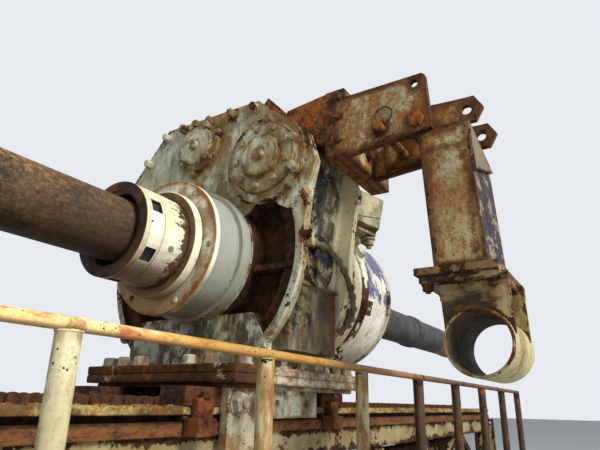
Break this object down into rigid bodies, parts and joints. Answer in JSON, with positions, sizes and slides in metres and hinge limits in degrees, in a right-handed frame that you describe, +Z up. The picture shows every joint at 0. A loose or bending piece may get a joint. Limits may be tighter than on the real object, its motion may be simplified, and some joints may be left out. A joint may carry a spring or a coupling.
{
  "type": "rotary drilling head on leader",
  "caption": "Rotary head of a soil improvement drilling rig with chuck, rod and side arm, on its carriage and a laid-down lattice leader with handrail.",
  "frame": {"origin": "on the floor under the middle of the leader, on the underside of the middle skid beam", "axes": "+X along the drill rod from the front of the head to its rear, +Y to the head's left side, +Z up"},
  "size_m": [4.856, 1.7838, 2.2676],
  "materials": {
    "housing_paint": "pale green-white enamel, chipped and streaked with rust",
    "chuck_paint": "cream paint worn to brown rust at the rims",
    "rod_steel": "mill-scaled steel, brown rust",
    "plate_paint": "pale paint over rusted plate",
    "rusted_steel": "bare steel, heavy rust",
    "leader_paint": "old paint, mostly rusted through",
    "beam_paint": "old paint, rusted",
    "rail_paint": "cream-yellow paint, rust stained",
    "arm_paint": "pale green paint, rust coming through",
    "ring_paint": "cream paint, rust stained"
  },
  "bodies": {
    "leader": {"chain_tray": "rusted_steel", "feed_chain": "rusted_steel", "guide_rail_left": "rusted_steel", "guide_rail_right": "rusted_steel", "handrail_posts": "rail_paint", "handrail_tube": "rail_paint", "leader_end_front": "leader_paint", "leader_end_rear": "leader_paint", "leader_side_left": "leader_paint", "leader_side_right": "leader_paint", "leader_ties": "leader_paint", "skid_beam_front": "beam_paint", "skid_beam_middle": "beam_paint", "skid_beam_rear": "beam_paint", "sprocket_front": "rusted_steel", "sprocket_rear": "rusted_steel", "walkway": "beam_paint"},
    "head": {"arm_bracket": "arm_paint", "arm_clevis": "arm_paint", "arm_pins": "arm_paint", "arm_plates": "arm_paint", "arm_post": "arm_paint", "big_pinion_cover": "housing_paint", "carriage_cheek_left": "plate_paint", "carriage_cheek_right": "plate_paint", "carriage_plate": "plate_paint", "carriage_underplate": "plate_paint", "drive_motor": "housing_paint", "drum_clamp": "housing_paint", "front_boss": "housing_paint", "front_housing": "housing_paint", "guide_shoes_left": "rusted_steel", "guide_shoes_right": "rusted_steel", "head_foot_plate": "plate_paint", "lube_box": "housing_paint", "lube_pipe": "housing_paint", "lube_pump": "housing_paint", "pipe_ring": "ring_paint", "port_block": "housing_paint", "rear_housing": "housing_paint", "rear_neck": "housing_paint", "ring_bracket": "arm_paint", "small_pinion_cover": "housing_paint", "swivel_drum": "housing_paint"},
    "spindle": {"drill_rod": "rod_steel", "spindle_tube": "rod_steel", "chuck_jaws": "rod_steel", "chuck_sleeve": "chuck_paint", "chuck_collar": "chuck_paint"}
  },
  "joints": [
    {"name": "head_feed", "type": "slide", "parent": "leader", "child": "head", "axis": [1, 0, 0], "range_m": [-0.5, 1.8]},
    {"name": "rod_spin", "type": "hinge", "parent": "head", "child": "spindle", "pos_m": [-1.175, 0, 1.59], "axis": [1, 0, 0], "continuous": true}
  ]
}
